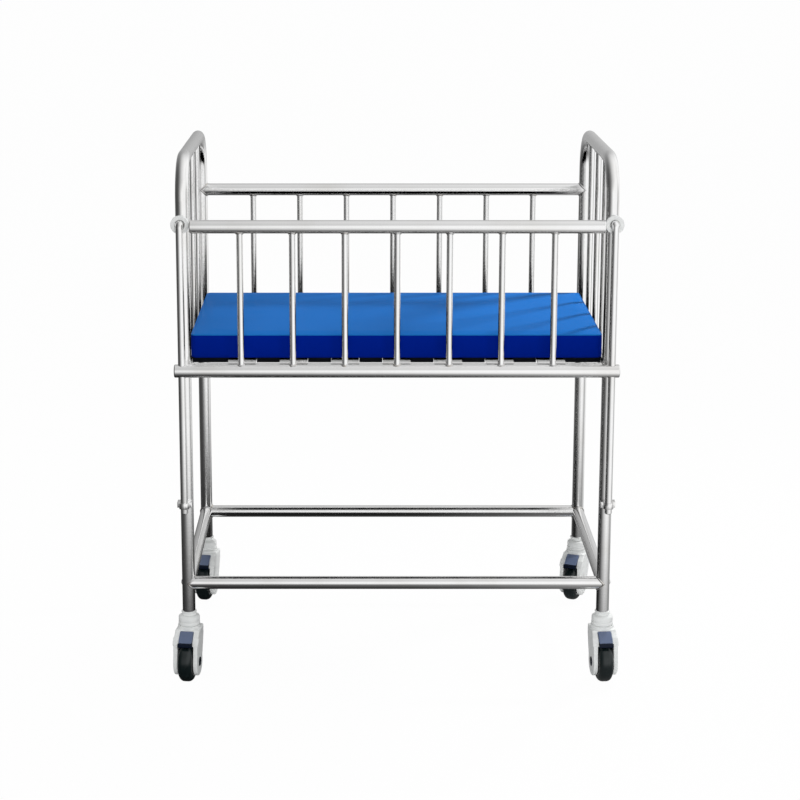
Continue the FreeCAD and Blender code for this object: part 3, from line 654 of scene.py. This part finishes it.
class BASSINET_OT_welds(bpy.types.Operator):
    """Lays the weld beads where tubes and rods meet"""

    bl_idname = "bassinet.welds"
    bl_label = "Weld beads"

    def execute(self, context):
        radius = context.scene.bassinet_steel.bead
        metal = weld_material()
        parts = (
            ("frame_weld_beads", "frame", self.rails() + self.spindles() + self.rods()),
            ("drop_side_weld_beads", "drop_side", self.drop_side()),
        )
        for name, body, seams in parts:
            mesh = bead_mesh(name, seams, radius, ripple=0.4)
            new_piece(name, mesh, body, metal)
        return {"FINISHED"}

    def rails(self):
        """Rails into legs: both lower and bed rounds, and the rear top rail."""
        tube = TUBE / 2
        left = middle("left_lower_end_rail").x
        right = middle("right_lower_end_rail").x
        front = middle("front_lower_rail").y
        rear = middle("rear_lower_rail").y
        lower = middle("front_lower_rail").z
        bed = middle("front_bed_rail").z
        seams = []
        for x, inward in ((left, 1), (right, -1)):
            for z in (lower, bed):
                for y, back in ((front, 1), (rear, -1)):
                    leg = Vector((x, y, z))
                    seams.append(saddle(leg, (0, 0, 1), (inward, 0, 0), tube, tube))
                    seams.append(saddle(leg, (0, 0, 1), (0, back, 0), tube, tube))
            leg = Vector((x, rear, middle("rear_top_rail").z))
            seams.append(saddle(leg, (0, 0, 1), (inward, 0, 0), tube, tube))
        return seams

    def spindles(self):
        """Rear spindles between their rails, and end spindles under the hoops."""
        tube, rod = TUBE / 2, SPINDLE / 2
        seams = []
        low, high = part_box("rear_spindles")
        pitch = (high.x - low.x - SPINDLE) / (SIDE_SPINDLES - 1)
        for number in range(SIDE_SPINDLES):
            x = low.x + rod + pitch * number
            for rail, up in (("rear_bed_rail", 1), ("rear_top_rail", -1)):
                place = middle(rail)
                place.x = x
                seams.append(saddle(place, (1, 0, 0), (0, 0, up), tube, rod))
        for end in ("left", "right"):
            low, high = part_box(end + "_end_spindles")
            pitch = (high.y - low.y - SPINDLE) / (END_SPINDLES - 1)
            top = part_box(end + "_end_hoop")[1].z - tube
            for number in range(END_SPINDLES):
                y = low.y + rod + pitch * number
                foot = Vector((middle(end + "_end_spindles").x, y,
                               middle(end + "_bed_end_rail").z))
                seams.append(saddle(foot, (0, 1, 0), (0, 0, 1), tube, rod))
                head = foot.copy()
                head.z = top
                seams.append(saddle(head, (0, 1, 0), (0, 0, -1), tube, rod))
        return seams

    def rods(self):
        """The guide rods' elbows into the front legs."""
        seams = []
        for end in ("left", "right"):
            low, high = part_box(end + "_guide_rod")
            leg = Vector((middle(end + "_lower_end_rail").x,
                          middle("front_lower_rail").y, high.z - ROD / 2))
            skew = (low.x + high.x) / 2 - leg.x
            seams.append(saddle(leg, (0, 0, 1), (0, -1, 0), TUBE / 2, ROD / 2, skew))
        return seams

    def drop_side(self):
        """The drop side's spindles between its rails."""
        tube, rod = TUBE / 2, SPINDLE / 2
        low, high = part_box("guard_spindles")
        pitch = (high.x - low.x - SPINDLE) / (SIDE_SPINDLES - 1)
        seams = []
        for number in range(SIDE_SPINDLES):
            for rail, up in (("guard_bottom_rail", 1), ("guard_top_rail", -1)):
                place = middle(rail)
                place.x = low.x + rod + pitch * number
                seams.append(saddle(place, (1, 0, 0), (0, 0, up), tube, rod))
        return seams


class BASSINET_OT_collars(bpy.types.Operator):
    """Slims the straps that hold the feet of the guide rods"""

    bl_idname = "bassinet.collars"
    bl_label = "Rod collars"

    def execute(self, context):
        low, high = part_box("rod_collars")
        centre = (low.z + high.z) / 2
        half = context.scene.bassinet_steel.collar / 2
        bm = cad_copy("rod_collars")
        for z, up in ((centre - half, -1), (centre + half, 1)):
            everything = bm.verts[:] + bm.edges[:] + bm.faces[:]
            cut = bmesh.ops.bisect_plane(bm, geom=everything, plane_co=(0, 0, z),
                                         plane_no=(0, 0, up), clear_outer=True)
            rim = [e for e in cut["geom_cut"] if isinstance(e, bmesh.types.BMEdge)]
            bmesh.ops.triangle_fill(bm, use_beauty=True, use_dissolve=False, edges=rim)
        bmesh.ops.recalc_face_normals(bm, faces=bm.faces)
        steel = steel_material("collar_steel", "Z")
        piece = new_piece("rod_collar_straps", bm, "frame", steel)
        edge = piece.modifiers.new("Bevel", "BEVEL")
        edge.width = 0.0009
        edge.segments = 2
        edge.limit_method = "ANGLE"
        edge.angle_limit = math.radians(50)
        edge.harden_normals = True
        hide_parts("rod_collars")
        return {"FINISHED"}


class BASSINET_OT_mattress(bpy.types.Operator):
    """Makes the vinyl mattress, swollen by cloth simulation"""

    bl_idname = "bassinet.mattress"
    bl_label = "Mattress"

    def execute(self, context):
        settings = context.scene.bassinet_mattress
        low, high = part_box("mattress")
        tight = Vector((0.001, 0.001, 0.0))
        low, high = low + tight, high - tight
        bm = self.block(settings, low, high)
        top = vinyl_material("vinyl_top", settings.top, 0.38)
        # The border material carries painted shade: a darker copy of the top vinyl.
        border = vinyl_material("vinyl_border_painted_shade", settings.border, 0.42)
        # This black is painted shade under the mattress, and the steel mirrors it as a painted
        # dark reflection.
        base = vinyl_material("underside_painted_shade", settings.base, 0.75)
        piece = new_piece("mattress_cover", bm, "mattress", top)
        piece.data.materials.append(border)
        piece.data.materials.append(base)
        self.swell(context, piece, settings, low, high)
        # Faces that face up take the top vinyl, the lowest faces the painted-shade black, and
        # the rest the border, painted darker as painted shade.
        for polygon in piece.data.polygons:
            if polygon.normal.z > 0.75:
                polygon.material_index = 0
            else:
                lowest = polygon.center.z < low.z + 0.001
                polygon.material_index = 2 if lowest else 1
        # Black panels between the slats and a black sheet inside the cover: painted shade under
        # the mattress.
        panels = self.hang(settings, low, high)
        hung = new_piece("mattress_painted_shade", panels, "mattress", base)
        finish = piece.modifiers.new("Subdivision", "SUBSURF")
        finish.levels = 1
        finish.render_levels = 1
        # The steel does not mirror the blue cover but the black sheet inside it: a painted dark
        # reflection.
        piece.visible_glossy = False
        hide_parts("mattress")
        self.seams(settings, low, high, top)
        return {"FINISHED"}

    def block(self, settings, low, high):
        """The foam block in its cover, as an even grid with rounded edges."""
        size = high - low
        bm = bmesh.new()
        bmesh.ops.create_cube(bm, size=1.0)
        bmesh.ops.scale(bm, verts=bm.verts, vec=size)
        bmesh.ops.translate(bm, verts=bm.verts, vec=(low + high) / 2)
        uprights = [e for e in bm.edges
                    if abs(e.verts[0].co.z - e.verts[1].co.z) > 0.01]
        bmesh.ops.bevel(bm, geom=uprights, offset=CORNER, segments=3, profile=0.5,
                        affect="EDGES", material=-1)
        rims = [e for e in bm.edges if abs(e.verts[0].co.z - e.verts[1].co.z) < 1e-6]
        bmesh.ops.bevel(bm, geom=rims, offset=RIM, segments=2, profile=0.5,
                        affect="EDGES", material=-1)
        for axis in range(3):
            places = self.cuts(axis, settings.cell, low, high)
            for place in places:
                everything = bm.verts[:] + bm.edges[:] + bm.faces[:]
                normal = [1.0 if i == axis else 0.0 for i in range(3)]
                point = [place if i == axis else 0.0 for i in range(3)]
                bmesh.ops.bisect_plane(bm, geom=everything, plane_co=point,
                                       plane_no=normal, dist=1e-5)
        return bm

    def cuts(self, axis, cell, low, high):
        """Places of the grid's lines along one axis."""
        inset = RIM if axis == 2 else CORNER
        start, stop = low[axis] + inset, high[axis] - inset
        steps = max(1, round((stop - start) / cell))
        return [start + (stop - start) * i / steps for i in range(steps + 1)]

    def gaps(self):
        """Where each gap of the deck starts and ends, clear of slats and rails."""
        low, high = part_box("bed_slats")
        pitch = (high.x - low.x - SLAT) / (SLATS - 1)
        clear = 0.6 * MM
        starts = [low.x + pitch * i for i in range(SLATS)]
        lefts = [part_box("left_bed_end_rail")[1].x] + [x + SLAT for x in starts]
        rights = starts + [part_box("right_bed_end_rail")[0].x]
        return [(a + clear, b - clear) for a, b in zip(lefts, rights)]

    def hang(self, settings, low, high):
        """Painted shade under the mattress: soft black panels hung between the slats, and a
        black sheet inside the cover that the steel mirrors as a painted dark reflection.
        """
        bm = bmesh.new()
        near, far = low.y + 1.5 * MM, high.y - 1.5 * MM
        bottom, top = low.z - settings.sag, low.z + 2 * MM
        # The first part is the black sheet inside the cover, seen only in the steel as a painted
        # dark reflection; the rest are the painted-shade panels between the slats.
        parts = [(low.x + RIM, high.x - RIM, low.y + RIM, high.y - RIM,
                  low.z + 1 * MM, low.z + 4 * MM)]
        for start, stop in self.gaps():
            parts.append((start, stop, near, far, bottom, top))
        for left, right, front, back, under, over in parts:
            size = Vector((right - left, back - front, over - under))
            centre = Vector((left + right, front + back, under + over)) / 2
            made = bmesh.ops.create_cube(bm, size=1.0)["verts"]
            bmesh.ops.scale(bm, verts=made, vec=size)
            bmesh.ops.translate(bm, verts=made, vec=centre)
            edges = list({e for v in made for e in v.link_edges})
            bmesh.ops.bevel(bm, geom=edges, offset=1.0 * MM, segments=3, profile=0.5,
                            affect="EDGES", material=-1)
        return bm

    def swell(self, context, piece, settings, low, high):
        """Blows the panels up between the seams, which hold their place."""
        rest = [v.co.copy() for v in piece.data.vertices]
        held = piece.vertex_groups.new(name="held")
        still = [v.index for v in piece.data.vertices
                 if v.co.z < low.z + RIM + 1e-4 or self.on_rim(v.co, low, high)]
        held.add(still, 1.0, "REPLACE")
        cloth = piece.modifiers.new("Cloth", "CLOTH")
        cloth.settings.use_pressure = True
        cloth.settings.uniform_pressure_force = CLOTH_PRESSURE
        cloth.settings.effector_weights.gravity = 0.0
        cloth.settings.vertex_group_mass = "held"
        cloth.settings.quality = 5
        cloth.point_cache.frame_start = 1
        cloth.point_cache.frame_end = CLOTH_FRAMES
        for step in range(1, CLOTH_FRAMES + 1):
            context.scene.frame_set(step)
        apply_modifiers(piece)
        for vertex, start in zip(piece.data.vertices, rest):
            move = vertex.co - start
            if move.length > settings.crown:
                move.length = settings.crown
            vertex.co = start + move
        context.scene.frame_set(1)

    def on_rim(self, place, low, high):
        """Whether a point lies in the rounded edge round the top."""
        edge = RIM + 1e-4
        return place.z > high.z - edge and (
            min(place.x - low.x, high.x - place.x) < edge
            or min(place.y - low.y, high.y - place.y) < edge)

    def seams(self, settings, low, high, material):
        """The welded seam between the border and the top panel."""
        inset = RIM * (1 - math.sqrt(0.5))
        reach = CORNER - inset
        left, right = low.x + CORNER, high.x - CORNER
        front, back = low.y + CORNER, high.y - CORNER
        corners = ((right, back), (left, back), (left, front), (right, front))
        steps = 6
        line = []
        for quarter, (x, y) in enumerate(corners):
            for step in range(steps + 1):
                turn = math.pi / 2 * (quarter + step / steps)
                line.append(Vector((x + reach * math.cos(turn),
                                    y + reach * math.sin(turn), high.z - inset)))
        mesh = bead_mesh("mattress_seam", [line], settings.seam)
        seam = new_piece("mattress_seam", mesh, "mattress", material)
        # The steel does not mirror the seam either, so it shows the painted dark reflection
        # inside the cover.
        seam.visible_glossy = False


class BASSINET_OT_casters(bpy.types.Operator):
    """Makes the moulded pieces of the four casters and paints the rest"""

    bl_idname = "bassinet.casters"
    bl_label = "Casters"

    def execute(self, context):
        caster = context.scene.bassinet_caster
        shell = plastic_material("shell_white", caster.shell, 0.35)
        pedal = plastic_material("pedal_slate", caster.pedal, 0.3)
        lip = plastic_material("lip_navy", caster.lip, 0.22, 0.2)
        tyre = rubber_material("tyre_dark", caster.tyre)
        hub = plastic_material("hub_grey", (0.30, 0.31, 0.31, 1.0), 0.4)
        grain = caster.grain
        for corner in CORNERS:
            self.moulded(corner, "caster_housing", corner + "_caster", shell,
                         "caster_white", grain, 6)
            self.head(corner, shell)
            self.moulded(corner, "leg_bush", "frame", shell, "caster_white", grain, 3)
            self.pedal(corner, caster, pedal, lip)
            self.tyre(corner, tyre)
        paint(all_corners("axle_caps"), lip)
        paint(all_corners("wheel_hub"), hub)
        return {"FINISHED"}

    def moulded(self, corner, tail, body, material, slot, grain, rounds):
        node = corner + "_" + tail
        piece = new_piece(node + "_moulding", cad_copy(node), body, material)
        soften(piece, grain, rounds)
        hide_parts(node)

    def head(self, corner, material):
        """The fixed head over the ball race, turned in two tiers."""
        node = corner + "_swivel_head"
        low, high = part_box(node)
        centre = (low + high) / 2
        wide, tall = (high.x - low.x) / 2, high.z - low.z
        profile = (
            (8 * MM, 0.0), (wide - 1.2 * MM, 0.0), (wide, 0.06), (wide, 0.30),
            (wide - 0.8 * MM, 0.34), (wide - 1.6 * MM, 0.36), (wide - 1.6 * MM, 0.40),
            (wide - 0.6 * MM, 0.43), (wide - 0.4 * MM, 0.50), (wide - 0.4 * MM, 0.80),
            (wide - 1.2 * MM, 0.90), (wide - 3.0 * MM, 0.96), (15.5 * MM, 1.0),
            (8 * MM, 1.0))
        bm = bmesh.new()
        points = [bm.verts.new((r, 0.0, low.z + tall * share)) for r, share in profile]
        for first, second in zip(points, points[1:]):
            bm.edges.new((first, second))
        bmesh.ops.spin(bm, geom=bm.verts[:] + bm.edges[:], cent=(0, 0, 0),
                       axis=(0, 0, 1), angle=2 * math.pi, steps=64,
                       use_merge=True, use_duplicate=False)
        bmesh.ops.translate(bm, verts=bm.verts, vec=(centre.x, centre.y, 0.0))
        bmesh.ops.remove_doubles(bm, verts=bm.verts, dist=1e-6)
        rims = [e for e in bm.edges if e.is_boundary]
        bmesh.ops.bridge_loops(bm, edges=rims)
        bmesh.ops.recalc_face_normals(bm, faces=bm.faces)
        piece = new_piece(corner + "_head_tiers", bm, "frame", material)
        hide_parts(node)

    def tyre(self, corner, material):
        """A round-treaded tyre, spun about its axle."""
        joint = next(j for j in frame["joints"] if j["name"] == corner + "_wheel_roll")
        outer, inner, wide = 40 * MM, 29.2 * MM, 14 * MM
        bm = bmesh.new()
        corners = [bm.verts.new((x, 0.0, z)) for x, z in (
            (-wide, inner), (wide, inner), (wide, outer), (-wide, outer))]
        bm.faces.new(corners)
        bmesh.ops.bevel(bm, geom=corners[2:], offset=10.5 * MM, segments=8, profile=0.5,
                        affect="VERTICES", material=-1)
        lower = [v for v in bm.verts if v.co.z < inner + 1e-5]
        bmesh.ops.bevel(bm, geom=lower, offset=1.5 * MM, segments=2, profile=0.5,
                        affect="VERTICES", material=-1)
        bmesh.ops.delete(bm, geom=bm.faces[:], context="FACES_ONLY")
        bmesh.ops.spin(bm, geom=bm.verts[:] + bm.edges[:], cent=(0, 0, 0),
                       axis=(1, 0, 0), angle=2 * math.pi, steps=72,
                       use_merge=True, use_duplicate=False)
        bmesh.ops.remove_doubles(bm, verts=bm.verts, dist=1e-6)
        bmesh.ops.recalc_face_normals(bm, faces=bm.faces)
        axis = Vector(joint["axis"])
        heading = math.atan2(axis.y, axis.x)
        place = Matrix.Translation(joint["pos_m"]) @ Matrix.Rotation(heading, 4, "Z")
        bmesh.ops.transform(bm, verts=bm.verts, matrix=place)
        piece = new_piece(corner + "_tyre_tread", bm, corner + "_wheel", material)
        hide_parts(corner + "_tyre")

    def pedal(self, corner, caster, upper, lower):
        """The pedal's plate and its darker lip, parted at one height."""
        node = corner + "_brake_pedal"
        parts = (("plate", upper, True), ("lip", lower, False))
        for name, material, keep_top in parts:
            bm = cad_copy(node)
            everything = bm.verts[:] + bm.edges[:] + bm.faces[:]
            cut = bmesh.ops.bisect_plane(
                bm, geom=everything, plane_co=(0, 0, caster.lip_height),
                plane_no=(0, 0, 1), clear_inner=keep_top, clear_outer=not keep_top)
            rim = [e for e in cut["geom_cut"] if isinstance(e, bmesh.types.BMEdge)]
            bmesh.ops.holes_fill(bm, edges=rim)
            piece = new_piece(corner + "_pedal_" + name, bm, corner + "_pedal",
                              material)
            soften(piece, caster.grain, 3)
            if keep_top:
                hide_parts(node)


class BASSINET_OT_nylon(bpy.types.Operator):
    """Finishes the nylon rings on the guide rods"""

    bl_idname = "bassinet.nylon"
    bl_label = "Nylon rings"

    def execute(self, context):
        nylon = plastic_material("nylon_white", (0.90, 0.91, 0.90, 1.0), 0.42)
        paint(["rod_rings"], nylon)
        return {"FINISHED"}


class BASSINET_PT_panel(bpy.types.Panel):
    """Lists the bassinet's pieces and settings"""

    bl_idname = "BASSINET_PT_panel"
    bl_label = "Hospital Bassinet"
    bl_space_type = "VIEW_3D"
    bl_region_type = "UI"
    bl_category = "Bassinet"

    def draw(self, context):
        layout = self.layout
        for operator in OPERATORS:
            layout.operator(operator.bl_idname)
        for attribute, group in SETTINGS.items():
            box = layout.box()
            for name in group.__annotations__:
                box.prop(getattr(context.scene, attribute), name)


OPERATORS = (
    BASSINET_OT_stage,
    BASSINET_OT_steelwork,
    BASSINET_OT_welds,
    BASSINET_OT_collars,
    BASSINET_OT_mattress,
    BASSINET_OT_casters,
    BASSINET_OT_nylon,
)
CLASSES = tuple(SETTINGS.values()) + OPERATORS + (BASSINET_PT_panel,)


def register():
    for cls in CLASSES:
        bpy.utils.register_class(cls)
    for attribute, group in SETTINGS.items():
        setattr(bpy.types.Scene, attribute, bpy.props.PointerProperty(type=group))


def unregister():
    for attribute in SETTINGS:
        delattr(bpy.types.Scene, attribute)
    for cls in reversed(CLASSES):
        bpy.utils.unregister_class(cls)


def main():
    register()
    bpy.ops.bassinet.stage()
    bpy.ops.bassinet.steelwork()
    bpy.ops.bassinet.welds()
    bpy.ops.bassinet.collars()
    bpy.ops.bassinet.mattress()
    bpy.ops.bassinet.casters()
    bpy.ops.bassinet.nylon()


if __name__ == "__main__":
    main()
